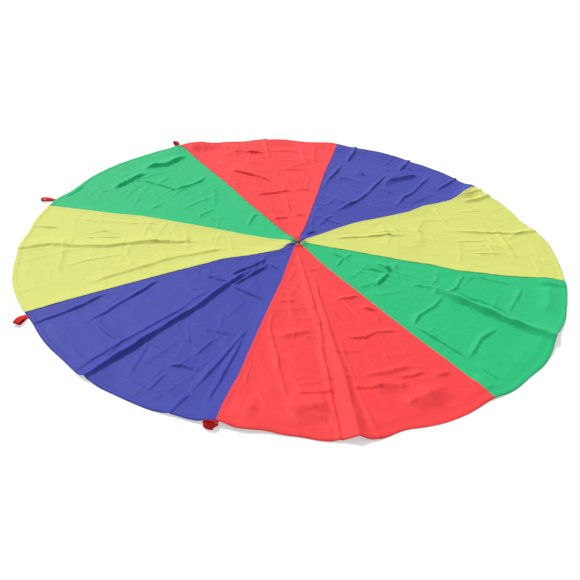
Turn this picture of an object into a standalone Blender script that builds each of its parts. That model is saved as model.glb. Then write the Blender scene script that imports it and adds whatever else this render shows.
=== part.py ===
"""Play parachute, lying open on the floor: eight cloth panels sewn into a circle, with a webbing handle at each seam.

Metres, +Z up. The centre is at the origin, the floor is z = 0, and +X runs along the seam between the right-hand
yellow and green panels. Seams are numbered anticlockwise from there, and panel n lies between seams n and n + 1.
The front half (-Y) folds up and over the back half, about the line through the left and right seams.
"""
import math

import bmesh
import bpy

# Size of the canopy
RADIUS = 1.0
VENT_RADIUS = 0.0125
PANEL_COUNT = 8
SECTOR = 2 * math.pi / PANEL_COUNT

# Cloth: the thickness stands for thin woven polyester
CLOTH = 0.0008
GAP = 0.0003
SEAM_LAP = 0.010
SEAM_RUN = 0.005
HEM_WIDTH = 0.014
HEM_RUN = 0.002
FOLD_LINE_GAP = 0.0004

# Webbing of the handles
WEBBING = 0.0012
WEBBING_WIDTH = 0.020
TAIL_LENGTH = 0.025
LOOP_LENGTH = 0.066
PIVOT_OUT = 0.006

# A loop that lies out on the floor stands open, and one that is tucked under the cloth is nearly flat
OPEN_HEIGHT = 0.016
OPEN_ROOT = 0.008
OPEN_RISE_SHARE = 0.85
OPEN_FROM_SEAM = 0.002
TUCKED_HEIGHT = 0.006
TUCKED_RISE_SHARE = 0.35
TUCKED_FROM_SEAM = 0.012
TUCKED_MARGIN = 0.002

# How the cloth lies: what rises less than FLAT_CUT is cut flat on the floor
FLAT_CUT = 0.0005
PUCKER_HEIGHT = 0.0024
PUCKER_LENGTH = 0.070
SWELL_HEIGHT = 0.006
SWELL_LENGTH = 0.31
SWELL_CROSS_LENGTH = 0.43
SWELL_FROM_SEAM = 0.045
SWELL_RISE = 0.090
FOLD_HEIGHT = 0.017
FOLD_WIDTH = 0.042
FOLD_RUN_SHARE = 0.28
FOLD_FROM_SEAM = 0.035
COVER_SLOPE = 0.060
COVER_FOOT = 0.140

# Grid of a panel
MAIN_ROWS = 12
INNER_COLUMNS = 12
NEAR_CENTRE_SHARES = (0.0, 0.07, 0.14)

# A loop's outline
BOTTOM_POINTS = 3
TIP_POINTS = 8
TOP_POINTS = 7
ROOT_POINTS = 4

# Panels in order: name, colour, and whether its edges lie on top of its neighbours
YELLOW = (0.72, 0.76, 0.22)
BLUE = (0.10, 0.11, 0.47)
RED = (1.0, 0.09, 0.10)
GREEN = (0.06, 0.60, 0.27)
PANELS = (
    ("panel_yellow_right", YELLOW, True),
    ("panel_blue_back", BLUE, False),
    ("panel_red_back", RED, True),
    ("panel_green_left", GREEN, False),
    ("panel_yellow_left", YELLOW, True),
    ("panel_blue_front", BLUE, False),
    ("panel_red_front", RED, True),
    ("panel_green_right", GREEN, False),
)

# Each panel's main folds, in the same order, with the one that the grid follows first. The shares are its place
# across the panel at its inner end and at the rim, where it starts and ends along the radius, and its height. An end
# past 1 is a fold that is still high at the rim
FOLD_SHARES = (
    ((0.46, 0.44, 0.12, 1.10, 0.60), (0.86, 0.88, 0.62, 1.10, 0.60)),
    ((0.43, 0.47, 0.16, 1.14, 0.80), (0.92, 0.84, 0.28, 1.14, 0.60)),
    ((0.42, 0.44, 0.30, 1.14, 0.70), (0.12, 0.22, 0.46, 1.10, 0.55)),
    ((0.52, 0.50, 0.36, 1.12, 0.80), (0.16, 0.12, 0.50, 1.04, 0.60)),
    ((0.50, 0.50, 0.16, 1.14, 0.75), (0.80, 0.90, 0.16, 1.04, 0.50)),
    ((0.56, 0.48, 0.12, 1.22, 0.95), (0.08, 0.18, 0.50, 1.06, 0.60)),
    ((0.42, 0.50, 0.10, 1.22, 1.00), (0.76, 0.72, 0.44, 1.10, 0.60)),
    ((0.54, 0.49, 0.26, 1.22, 0.85), (0.10, 0.12, 0.46, 1.00, 0.50)),
)
WEBBING_RED = (0.62, 0.02, 0.03)

# Handles in the order of the seams: name, and whether it lies tucked under the cloth
HANDLES = (
    ("handle_right", True),
    ("handle_back_right", True),
    ("handle_back", True),
    ("handle_back_left", False),
    ("handle_left", False),
    ("handle_front_left", False),
    ("handle_front", False),
    ("handle_front_right", True),
)
RIGHT_SEAM = 0
LEFT_SEAM = PANEL_COUNT // 2
FRONT_PANELS = range(LEFT_SEAM, PANEL_COUNT)

# Worked out from the sizes above
TAIL_HEIGHT = 2 * WEBBING
OPEN_COVER = TAIL_HEIGHT + GAP
TUCKED_TAIL_Z = TAIL_HEIGHT + GAP
TUCKED_TAIL_COVER = TUCKED_TAIL_Z + TAIL_HEIGHT + GAP
TUCKED_LOOP_COVER = TUCKED_HEIGHT + TAIL_HEIGHT + GAP
TUCKED_ROOT = TAIL_LENGTH + PIVOT_OUT + TUCKED_MARGIN
TUCKED_TIP = LOOP_LENGTH - WEBBING - TUCKED_HEIGHT / 2
TUCKED_FULL = TUCKED_ROOT + TUCKED_RISE_SHARE * (TUCKED_TIP - TUCKED_ROOT)
FOLD_AXIS_Z = OPEN_COVER + 3 * CLOTH + GAP


def smooth(value):
    """0 below 0, 1 above 1, and a smooth rise between."""
    value = min(max(value, 0.0), 1.0)
    return value * value * (3 - 2 * value)


def material(name, colour, roughness):
    made = bpy.data.materials.new(name)
    made.use_nodes = True
    shader = made.node_tree.nodes["Principled BSDF"]
    shader.inputs["Base Color"].default_value = (*colour, 1.0)
    shader.inputs["Roughness"].default_value = roughness
    shader.inputs["Metallic"].default_value = 0.0
    return made


def add_object(name, mesh, colour, roughness, place=(0, 0, 0), turn=0.0, parent=None):
    """Makes the object of a bmesh, with its own material, at a place and turned about Z."""
    data = bpy.data.meshes.new(name)
    bmesh.ops.recalc_face_normals(mesh, faces=mesh.faces)
    mesh.to_mesh(data)
    mesh.free()
    made = bpy.data.objects.new(name, data)
    data.materials.append(material(name, colour, roughness))
    bpy.context.collection.objects.link(made)
    made.location = place
    made.rotation_euler.z = turn
    if parent:
        made.parent = parent
        made.matrix_parent_inverse = parent.matrix_world.inverted()
    return made


def lapped(seam):
    """Panels lap at every seam but the two on the fold line, where they meet edge to edge and can turn."""
    return seam % PANEL_COUNT not in (RIGHT_SEAM, LEFT_SEAM)


def tucked(seam):
    return HANDLES[seam % PANEL_COUNT][1]


def row_radii():
    """Radii of a panel's rows, from the vent to the rim, with a row wherever a handle or the hem changes the cloth."""
    foot = RADIUS - COVER_FOOT
    radii = [VENT_RADIUS + (foot - VENT_RADIUS) * row / MAIN_ROWS for row in range(MAIN_ROWS + 1)]
    radii.append(RADIUS + PIVOT_OUT - LOOP_LENGTH - 2 * TUCKED_MARGIN)
    radii.append(RADIUS + PIVOT_OUT - TUCKED_FULL + TUCKED_MARGIN)
    radii.append(RADIUS - TAIL_LENGTH - TUCKED_MARGIN)
    radii.append(RADIUS - HEM_WIDTH - HEM_RUN)
    radii.append(RADIUS - HEM_WIDTH)
    radii.append(RADIUS)
    return radii


def handle_from_seam(seam):
    return TUCKED_FROM_SEAM if tucked(seam) else OPEN_FROM_SEAM


def side_offsets(seam, on_top):
    """Distances from a seam of the lines that run beside it: the lap on an upper panel, the handle on a lower one."""
    if on_top:
        return 0.0, SEAM_LAP, SEAM_LAP + SEAM_RUN
    start = TUCKED_FROM_SEAM - TUCKED_MARGIN
    return 0.0, start, handle_from_seam(seam) + WEBBING_WIDTH + TUCKED_MARGIN


def side_lines(seam, on_top, radius):
    """Those distances at a radius, drawn in near the centre, with the lap under the neighbour where there is one."""
    width = radius * SECTOR
    lines = [min(offset, share * width) for offset, share in zip(side_offsets(seam, on_top), NEAR_CENTRE_SHARES)]
    if not lapped(seam):
        lines[0] = FOLD_LINE_GAP / 2
    elif not on_top:
        lines.insert(0, -min(SEAM_LAP, NEAR_CENTRE_SHARES[1] * width))
    return lines


def fold_crest(fold, radius):
    """Distance of a fold's crest from the panel's first seam, along the arc."""
    inner, outer, start, *_ = fold
    past = min(max((radius / RADIUS - start) / (1 - start), 0.0), 1.0)
    return (inner + (outer - inner) * past) * radius * SECTOR


def panel_columns(panel, radius):
    """Distances from the first seam, along the arc, of a panel's columns, with one on the crest of its main fold."""
    on_top = PANELS[panel][2]
    width = radius * SECTOR
    first = side_lines(panel, on_top, radius)
    last = [width - line for line in reversed(side_lines(panel + 1, on_top, radius))]
    crest = fold_crest(FOLD_SHARES[panel][0], radius)
    half = INNER_COLUMNS // 2
    to_crest = [first[-1] + (crest - first[-1]) * step / half for step in range(1, half + 1)]
    from_crest = [crest + (last[0] - crest) * step / half for step in range(1, half)]
    return first + to_crest + from_crest + last


def fold_height(fold, radius, from_first):
    """Height of one fold: a ridge along the panel, which rises from its start and runs out at its end."""
    _, _, start, end, height = fold
    across = (from_first - fold_crest(fold, radius)) / FOLD_WIDTH
    along = radius / RADIUS
    rise = smooth((along - start) / FOLD_RUN_SHARE) * smooth((end - along) / FOLD_RUN_SHARE)
    return FOLD_HEIGHT * height * rise * math.exp(-across * across)


def swell(panel, radius, from_seams):
    """Height of the low swells between the seams, where air lies under the cloth."""
    turn = panel * SECTOR + from_seams[0] / radius
    x = radius * math.cos(turn)
    y = radius * math.sin(turn)
    wave = math.sin(math.tau * x / SWELL_LENGTH + panel) + math.sin(math.tau * y / SWELL_CROSS_LENGTH - 2 * panel)
    inside = smooth((min(from_seams) - SWELL_FROM_SEAM) / SWELL_RISE)
    return SWELL_HEIGHT * wave * inside


def along_seam(seam, radius):
    """Height of the cloth along a seam: puckered at the vent, and lifted by the tail of a handle that lies out."""
    height = PUCKER_HEIGHT * (1 - smooth((radius - VENT_RADIUS) / PUCKER_LENGTH))
    if not tucked(seam):
        height = max(height, OPEN_COVER * smooth((radius - RADIUS + COVER_FOOT) / (COVER_FOOT - TAIL_LENGTH
                                                                                 - TUCKED_MARGIN)))
    return height


def over_handle(seam, radius):
    """Height that clears the seam's handle, on the panel that carries it."""
    rows = row_radii()
    foot, loop_end, bulge, tail_end = rows[MAIN_ROWS:MAIN_ROWS + 4]
    if not tucked(seam):
        return OPEN_COVER * smooth((radius - foot) / (tail_end - foot))
    if radius <= bulge:
        return TUCKED_LOOP_COVER * min(max((radius - foot) / (loop_end - foot), 0.0), 1.0)
    past = min((radius - bulge) / (tail_end - bulge), 1.0)
    return TUCKED_LOOP_COVER + (TUCKED_TAIL_COVER - TUCKED_LOOP_COVER) * past


def beside_seam(seam, on_top, radius, distance):
    """Height of the cloth at a distance from a seam: level across the lap and the handle, then sloping down."""
    height = along_seam(seam, radius) * (1 - smooth((distance - SEAM_LAP - SEAM_RUN) / COVER_SLOPE))
    if on_top:
        return height
    lines = side_lines(seam, on_top, radius)
    if lines[-2] - GAP <= distance <= lines[-1] + GAP:
        height = max(height, over_handle(seam, radius))
    return height


def cloth_heights(panel, radius, from_first):
    """Heights of the lower and upper side of a panel's cloth at one point of its grid."""
    on_top = PANELS[panel][2]
    from_seams = (from_first, radius * SECTOR - from_first)
    folds = sum(fold_height(fold, radius, from_first) for fold in FOLD_SHARES[panel])
    folds *= smooth((min(from_seams) - SEAM_LAP - SEAM_RUN) / FOLD_FROM_SEAM)
    low = max(0.0, folds + swell(panel, radius, from_seams) - FLAT_CUT)
    hemmed = CLOTH * (2 if radius > RADIUS - HEM_WIDTH - GAP else 1)
    thickness = hemmed
    for seam, distance in zip((panel, panel + 1), from_seams):
        low = max(low, beside_seam(seam, on_top, radius, distance))
    for seam, distance in zip((panel, panel + 1), from_seams):
        edge = side_lines(seam, on_top, radius)[1]
        if on_top and distance < edge + GAP:
            thickness += CLOTH
            low += (hemmed + GAP) * lapped(seam)
    return low, low + thickness


def panel_mesh(panel):
    """A panel as a closed sheet: a flat grid, bent to the wedge, then thickened upwards."""
    radii = row_radii()
    column_count = len(panel_columns(panel, RADIUS)) - 1
    row_count = len(radii) - 1
    mesh = bmesh.new()
    bmesh.ops.create_grid(mesh, x_segments=column_count, y_segments=row_count, size=1)
    lower = mesh.verts[:]
    grid = [(round((v.co.x + 1) / 2 * column_count), round((v.co.y + 1) / 2 * row_count)) for v in lower]
    made = bmesh.ops.extrude_face_region(mesh, geom=mesh.faces[:])
    upper = [item for item in made["geom"] if isinstance(item, bmesh.types.BMVert)]
    at_grid = {tuple(v.co): v for v in upper}
    pairs = [(v, at_grid[tuple(v.co)]) for v in lower]
    for (column, row), (below, above) in zip(grid, pairs):
        radius = radii[row]
        from_first = panel_columns(panel, radius)[column]
        turn = panel * SECTOR + from_first / radius
        low, high = cloth_heights(panel, radius, from_first)
        below.co = (radius * math.cos(turn), radius * math.sin(turn), low)
        above.co = (radius * math.cos(turn), radius * math.sin(turn), high)
    return mesh


def loop_outlines(height, root, rise_share):
    """Outer and inner outline of a loop, as matching points in its side view, with its pivot at the origin.

    The loop lies on its flat lower side, turns round at the tip and comes back over the opening to the root.
    """
    radius = height / 2
    tip = LOOP_LENGTH - WEBBING - radius
    outer = []
    inner = []
    for step in range(BOTTOM_POINTS):
        x = root + (tip - root) * step / BOTTOM_POINTS
        outer.append((x, -WEBBING))
        inner.append((x, 0.0))
    for step in range(TIP_POINTS + 1):
        turn = math.pi * (step / TIP_POINTS - 1 / 2)
        outer.append((tip + (radius + WEBBING) * math.cos(turn), radius + (radius + WEBBING) * math.sin(turn)))
        inner.append((tip + radius * math.cos(turn), radius + radius * math.sin(turn)))
    for step in range(1, TOP_POINTS + 1):
        x = tip + (root - tip) * step / TOP_POINTS
        z = GAP + (height - GAP) * smooth((x - root) / (tip - root) / rise_share)
        outer.append((x, z + WEBBING))
        inner.append((x, z))
    return outer, inner


def loop_mesh(height, root, rise_share):
    """A webbing loop: its side view drawn once, then pushed across the webbing's width."""
    outer, inner = loop_outlines(height, root, rise_share)
    mesh = bmesh.new()
    edge = -WEBBING_WIDTH / 2
    outer_points = [mesh.verts.new((x, edge, z)) for x, z in outer]
    inner_points = [mesh.verts.new((x, edge, z)) for x, z in inner]
    for index in range(len(outer) - 1):
        mesh.faces.new((outer_points[index], outer_points[index + 1], inner_points[index + 1], inner_points[index]))
    root_points = []
    for step in range(ROOT_POINTS + 1):
        turn = math.pi * (1 / 2 + step / ROOT_POINTS)
        root_points.append(mesh.verts.new((WEBBING * math.cos(turn), edge, WEBBING * math.sin(turn))))
    mesh.faces.new([outer_points[-1], *root_points, outer_points[0], inner_points[0], inner_points[-1]])
    made = bmesh.ops.extrude_face_region(mesh, geom=mesh.faces[:])
    pushed = [item for item in made["geom"] if isinstance(item, bmesh.types.BMVert)]
    bmesh.ops.translate(mesh, verts=pushed, vec=(0, WEBBING_WIDTH, 0))
    return mesh


def tail_mesh(low):
    """The two ends of the webbing, one on the other, sewn flat under the hem; its origin is over the pivot."""
    length = TAIL_LENGTH + PIVOT_OUT - WEBBING - GAP
    mesh = bmesh.new()
    bmesh.ops.create_cube(mesh, size=1)
    bmesh.ops.scale(mesh, verts=mesh.verts, vec=(length, WEBBING_WIDTH, TAIL_HEIGHT))
    middle = -WEBBING - GAP - length / 2
    bmesh.ops.translate(mesh, verts=mesh.verts, vec=(middle, 0, low + TAIL_HEIGHT / 2))
    return mesh


def add_handle(seam, halves):
    """A seam's handle: the tail under the hem and the loop on its pivot, beside the seam on the lower panel."""
    name, is_tucked = HANDLES[seam]
    side = 1 if seam % 2 else -1
    turn = seam * SECTOR + side * (handle_from_seam(seam) + WEBBING_WIDTH / 2) / RADIUS
    panel = (seam if side > 0 else seam - 1) % PANEL_COUNT
    half = halves["front" if panel in FRONT_PANELS else "back"]
    reach = RADIUS + PIVOT_OUT
    place = (reach * math.cos(turn), reach * math.sin(turn), 0)
    pivot = (place[0], place[1], WEBBING)
    tail = tail_mesh(TUCKED_TAIL_Z if is_tucked else 0.0)
    add_object(name + "_tail", tail, WEBBING_RED, 0.85, place, turn, half)
    if is_tucked:
        loop = loop_mesh(TUCKED_HEIGHT, TUCKED_ROOT, TUCKED_RISE_SHARE)
        turn += math.pi
    else:
        loop = loop_mesh(OPEN_HEIGHT, OPEN_ROOT, OPEN_RISE_SHARE)
    add_object(name + "_loop", loop, WEBBING_RED, 0.85, pivot, turn, half)


def add_half(name):
    """An empty that holds one half of the canopy, on the line that it folds about."""
    made = bpy.data.objects.new(name, None)
    bpy.context.collection.objects.link(made)
    made.location = (0, 0, FOLD_AXIS_Z)
    return made


for old in list(bpy.data.objects):
    bpy.data.objects.remove(old)
halves = {"front": add_half("front_half"), "back": add_half("back_half")}
bpy.context.view_layer.update()
for number, (panel_name, colour, _) in enumerate(PANELS):
    half = halves["front" if number in FRONT_PANELS else "back"]
    add_object(panel_name, panel_mesh(number), colour, 0.55, parent=half)
for number in range(PANEL_COUNT):
    add_handle(number, halves)
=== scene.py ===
"""A play parachute lying open on a floor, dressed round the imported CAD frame.

Metres, +Z up, in the frame of the CAD: the centre is at the origin, the floor is z = 0, and seam 0 runs along +X.
Seams count anticlockwise, and panel n lies between seams n and n + 1. The front half (-Y) folds over the back half.
"""
import math

import bmesh
import bpy
import numpy as np
from mathutils import Matrix, Vector


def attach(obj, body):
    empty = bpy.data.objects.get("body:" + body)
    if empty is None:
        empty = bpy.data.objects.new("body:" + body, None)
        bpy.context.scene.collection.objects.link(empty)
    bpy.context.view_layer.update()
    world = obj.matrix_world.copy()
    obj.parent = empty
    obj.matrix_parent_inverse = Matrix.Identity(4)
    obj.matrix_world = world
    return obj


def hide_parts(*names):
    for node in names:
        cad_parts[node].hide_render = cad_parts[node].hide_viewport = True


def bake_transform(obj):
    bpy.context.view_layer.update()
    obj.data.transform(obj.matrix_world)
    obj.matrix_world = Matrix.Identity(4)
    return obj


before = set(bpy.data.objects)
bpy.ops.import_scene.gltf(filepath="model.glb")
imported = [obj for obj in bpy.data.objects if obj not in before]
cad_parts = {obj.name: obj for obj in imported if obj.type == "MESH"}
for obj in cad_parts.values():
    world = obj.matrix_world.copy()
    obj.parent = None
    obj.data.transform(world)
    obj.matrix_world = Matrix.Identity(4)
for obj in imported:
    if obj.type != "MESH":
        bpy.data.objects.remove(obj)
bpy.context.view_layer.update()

# Blue panels: two of the eight wedges of thin woven polyester that the canopy is sewn from. Each is cut with its grain
# along its middle, hemmed at the rim, and lies under its red and yellow neighbours at the seams. The canopy was put
# away folded along each panel's middle and then across, which leaves the creases that are listed for each panel.
MM = 0.001
RADIUS = 1.0
SECTOR = math.tau / 8
CLOTH = 0.4 * MM
LAP = 10 * MM
HEM = 14 * MM
BLUE = (0.058, 0.070, 0.405)

# A panel's grid: its even rows and columns, where the columns of a sewn edge lie from the seam, in mm, the share of
# the panel that they and the lap take at most, and how near the middle each panel's tip begins, in mm
ROWS = 268
COLUMNS = 236
SEWN_COLUMNS = (0.0, 0.4, 1.5, 4.0, 7.0, 8.8, 10.0, 11.0, 13.0, 17.0)
SEWN_SHARE = 0.20
LAP_SHARE = 0.75
TIP_RADII = (10, 0.5, 6, 0.5, 22, 0.5, 10, 0.5)

# Each seam's wander and height: its radius, how far it lies anticlockwise of its true line, and its height, in mm
SEAM_LINES = (
    ((0.02, 0, 2), (0.10, -9, 2), (0.20, -17, 2), (0.30, -25, 1), (0.42, -35, 3), (0.52, -30, 1), (0.61, -49, 5),
     (0.69, -36, 2), (0.79, -28, 2), (0.89, -8, 2), (1.0, 3, 1)),
    ((0.02, -6, 2), (0.10, -6, 2), (0.21, -4, 3), (0.30, -3, 1), (0.40, -18, 2), (0.50, -29, 3), (0.55, -35, 4),
     (0.645, -24, 5), (0.72, -30, 2), (0.80, -34, 2), (0.86, -28, 12), (0.90, -18, 20), (0.96, -4, 19), (1.0, 0, 12)),
    ((0.02, -4, 2), (0.10, -15, 3), (0.21, -18, 4), (0.42, -18, 4), (0.63, -12, 3), (0.84, -17, 4), (1.0, -20, 9)),
    ((0.02, 0, 2), (0.10, 4, 3), (0.21, 7, 4), (0.31, 9, 4), (0.42, 4, 3), (0.50, -1, 3), (0.63, -2, 2),
     (0.84, -2, 3), (0.94, -3, 7), (1.0, 4, 14)),
    ((0.02, 4, 2), (0.10, 17, 3), (0.20, 20, 2), (0.31, 20, 4), (0.50, 15, 5), (0.62, 11, 4), (0.72, 25, 4),
     (0.84, 30, 3), (0.94, 39, 3), (1.0, 45, 4)),
    ((0.02, 0, 2), (0.05, 10, 3), (0.07, 22, 3), (0.10, 33, 5), (0.16, 26, 4), (0.22, 18, 3), (0.31, 1, 4),
     (0.40, 0, 4), (0.50, -6, 3), (0.60, -8, 3), (0.80, -10, 4), (0.87, -11, 4), (0.93, -9, 4), (1.0, -8, 3)),
    ((0.02, 2, 2), (0.10, 6, 2), (0.20, 8, 2), (0.30, 12, 2), (0.50, 4, 4), (0.70, -1, 3), (0.80, -2, 3),
     (0.86, -8, 4), (0.93, -12, 7), (1.0, -10, 15)),
    ((0.02, 2, 2), (0.10, 0, 2), (0.17, -9, 3), (0.30, -11, 3), (0.42, -8, 3), (0.63, -3, 3), (0.73, 2, 1),
     (0.80, 5, 4), (0.90, 8, 3), (1.0, 8, 3)),
)
# The middle lies off the centre, and the gathered vent a little farther still: how far, and out to which radius, in mm
CENTRE_SHIFTS = ((6, -14, 350), (11, -20, 62))

# The rim: its angle in degrees, how far it reaches past or short of its true circle, and its height, in mm
RIM_LINE = (
    (0, 1, 1), (6, 5, 1), (11, 9, 2), (16, 15, 4), (19, 10, 5), (21, 0, 5), (24, -6, 3), (27.5, -18, 1), (30, -3, 1),
    (32.5, -8, 1), (35, 1, 2), (38, -6, 6), (40, -18, 10), (42.5, -16, 15), (45.5, -5, 14), (47, -4, 7), (49, -20, 4),
    (52, -7, 1), (57, -2, 2), (60, -9, 3), (63, -8, 4), (66, -20, 5), (69, -4, 6), (74, -9, 9), (78, -8, 10),
    (82, -14, 10), (85, -20, 9), (87, -8, 9), (88.3, -1, 10), (90, 3, 11), (93, -6, 10), (97, -11, 4), (102, 1, 3),
    (106, -4, 8), (110, -7, 8), (113, -2, 6), (116, -12, 0), (119, -10, 0), (122, -2, 1), (126, -14, 8),
    (129, -10, 20), (131.5, -5, 20), (135, 0, 14), (138, -2, 8), (141, 2, 3), (145, 1, 1), (150, -1, 3), (154, -5, 5),
    (158, -6, 4), (162, -4, 1), (167, -12, 1), (171, -22, 2), (174, -25, 2), (178, -4, 2), (180, -5, 3), (184, -4, 1),
    (189, 1, 1), (192, -7, 1), (195, -6, 2), (199, 3, 1), (204, 2, 2), (209, 8, 1), (213, 12, 1), (217, 10, 1),
    (220, 7, 1), (224, 2, 2), (228, -4, 1), (231, 1, 1), (235, 5, 2), (240, 4, 1), (243, 9, 4), (245, 17, 6),
    (247, 8, 10), (249, 14, 4), (252, 10, 1), (256, 10, 1), (260.3, 11, 1), (262.3, 2, 7), (264.5, 4, 8),
    (266.6, 5, 8), (267.5, 3, 8), (267.9, 1, 10), (268.4, -5, 11), (269.1, -9, 11), (269.5, -8, 10), (269.9, -6, 8),
    (270.7, -5, 7), (272, 3, 8), (274.5, 3, 9), (276.5, -6, 5), (280, 4, 1), (283, 6, 1), (285, 21, 1), (288, 20, 4),
    (290.5, 22, 14), (293.3, 28, 3), (295.5, 18, 1), (298, 3, 1), (301, 11, 1), (305, 15, 1), (310, 10, 1),
    (315, -3, 2), (316, 2, 2), (318, 8, 1), (320, 11, 1), (325, 6, 1), (330, 11, 2), (333, 5, 4), (335, 3, 5),
    (337.3, -9, 16), (340, -7, 7), (345, 0, 2), (350, -2, 1), (354, 0, 1), (357, 4, 1), (360, 1, 1),
)

# Where the handles are sewn in: the seam, how far from it on the blue or green panel, and whether the loop is tucked
WEBBING_WIDTH = 20 * MM
HANDLE_SEATS = (
    ("handle_right", 12 * MM, True), ("handle_back_right", 12 * MM, True), ("handle_back", 12 * MM, True),
    ("handle_back_left", 2 * MM, False), ("handle_left", 2 * MM, False), ("handle_front_left", 2 * MM, False),
    ("handle_front", 2 * MM, False), ("handle_front_right", 12 * MM, True),
)
# Cloth that a handle lifts: its height, the radius at which it starts to rise, and the length over which it does
OVER_OPEN_TAIL = (2.9 * MM, 0.93, 0.042)
OVER_TUCKED_LOOP = (8.9 * MM, 0.885, 0.050)
OVER_TUCKED_TAIL = (5.7 * MM, 0.962, 0.012)


def smooth(value):
    """0 below 0, 1 above 1, and a smooth rise between, for arrays."""
    value = np.clip(value, 0.0, 1.0)
    return value * value * (3 - 2 * value)


def eased(places, rows, column):
    """One column of a table of places, read between its rows without a corner."""
    steps, rounding = 800, 1 / 130
    at = [row[0] for row in rows]
    values = [row[column] for row in rows]
    fine = np.linspace(at[0], at[-1], steps)
    line = np.interp(fine, at, values)
    spread = max(1, round((at[-1] - at[0]) * rounding / (fine[1] - fine[0])))
    weights = np.hanning(2 * spread + 3)
    line = np.convolve(np.pad(line, spread + 1, mode="edge"), weights / weights.sum(), mode="valid")
    return np.interp(places, fine, line)


def ripple(x, y, size, seed):
    """Smooth random waves of about that size, between -1 and 1."""
    period, middle = 97, 500
    lattice = np.random.default_rng(seed).uniform(-1, 1, (period, period))
    across, along = x / size + middle, y / size + middle
    i, j = np.floor(across).astype(int), np.floor(along).astype(int)
    u, v = smooth(across - i), smooth(along - j)
    corners = [lattice[(i + a) % period, (j + b) % period] for a in (0, 1) for b in (0, 1)]
    return (corners[0] * (1 - v) + corners[1] * v) * (1 - u) + (corners[2] * (1 - v) + corners[3] * v) * u


def crease(x, y, height, left, right, path, seed):
    """Height of one crease on the cloth: a sharp ridge along a path of (degrees, radius).

    Its flanks reach so far to the left and right of the way it runs, in mm, and it runs out at both ends, but not
    at the rim. A size given as a pair changes from one end of the path to the other.
    """
    wander, wander_size = 3.0 * MM, 0.07
    flank_size, height_size = 0.05, 0.045
    shortest_end, end_share, rim_share = 0.030, 0.25, 0.975
    roundness, widest = 1.3, 1.3
    points = np.array([(r * math.cos(math.radians(a)), r * math.sin(math.radians(a))) for a, r in path])
    margin = np.max(np.hstack([left, right])) * MM * widest
    near = np.nonzero((x > points[:, 0].min() - margin) & (x < points[:, 0].max() + margin)
                      & (y > points[:, 1].min() - margin) & (y < points[:, 1].max() + margin))[0]
    raised = np.zeros_like(x)
    if not len(near):
        return raised
    px = x[near] + wander * ripple(x[near], y[near], wander_size, seed)
    py = y[near] + wander * ripple(x[near], y[near], wander_size, seed + 1)
    lengths = np.hypot(*(points[1:] - points[:-1]).T)
    total = lengths.sum()
    gone = 0.0
    nearest = np.full(len(near), np.inf)
    side = np.zeros(len(near))
    along = np.zeros(len(near))
    for first, last, length in zip(points[:-1], points[1:], lengths):
        step = (last - first) / length
        across_x, across_y = px - first[0], py - first[1]
        onward = np.clip(across_x * step[0] + across_y * step[1], 0, length)
        away = np.hypot(across_x - onward * step[0], across_y - onward * step[1])
        closer = away < nearest
        nearest[closer] = away[closer]
        side[closer] = (step[0] * across_y - step[1] * across_x)[closer]
        along[closer] = (gone + onward)[closer]
        gone += length

    def along_path(size):
        return np.interp(along / total, (0, 1), np.broadcast_to(size, 2)) * MM

    flank = np.where(side > 0, along_path(left), along_path(right))
    flank = flank * (0.9 + 0.18 * ripple(px, py, flank_size, seed + 2))
    run_out = max(shortest_end, end_share * total)
    ends = smooth(along / run_out) if path[0][1] < rim_share else 1.0
    ends = ends * (smooth((total - along) / run_out) if path[-1][1] < rim_share else 1.0)
    uneven = 1.3 + 0.3 * ripple(px, py, height_size, seed + 3)
    profile = np.clip(1 - nearest / flank, 0, 1)
    raised[near] = along_path(height) * ends * uneven * profile ** roundness
    return raised


def chance_creases(panel, count=44):
    """Short shallow creases with no pattern, which the cloth has between its folds, the same on every run."""
    chance = np.random.default_rng(300 + panel)
    made = []
    for number in range(count):
        radius = math.sqrt(chance.uniform(0.05, 0.92))
        angle = (panel + chance.uniform(0.10, 0.90)) * 45
        length = chance.uniform(0.07, 0.26)
        if number % 2:
            turned, outward = chance.normal(0, 2.0), length
        else:
            turned, outward = math.degrees(length / radius), chance.normal(0, 0.2) * length
        bend = chance.normal(0, 0.12) * length
        path = [(angle + turned * share + math.degrees(bend * math.sin(math.pi * share) / radius),
                 min(radius + outward * share, 0.99)) for share in (-0.5, 0, 0.5)]
        flanks = (chance.uniform(4, 6), chance.uniform(14, 30))
        made.append((chance.uniform(0.7, 2.2), *(flanks if number % 3 else flanks[::-1]), path))
    return tuple(made)


def over_handle(seam, offset, radius):
    """Height of the cloth that clears a seam's handle, by how far it is from the seam towards the handle."""
    ease, margin = 24 * MM, 2 * MM
    _, edge, is_tucked = HANDLE_SEATS[seam % 8]
    beside = smooth((offset - edge + margin + ease) / ease)
    beside = beside * smooth((edge + WEBBING_WIDTH + margin + ease - offset) / ease)

    def lift(height, start, length):
        return height, smooth((radius - start) / length)

    if not is_tucked:
        height, risen = lift(*OVER_OPEN_TAIL)
        return height * beside * risen
    loop_height, at_loop = lift(*OVER_TUCKED_LOOP)
    tail_height, at_tail = lift(*OVER_TUCKED_TAIL)
    return beside * (loop_height * at_loop * (1 - at_tail) + tail_height * at_tail)


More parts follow.
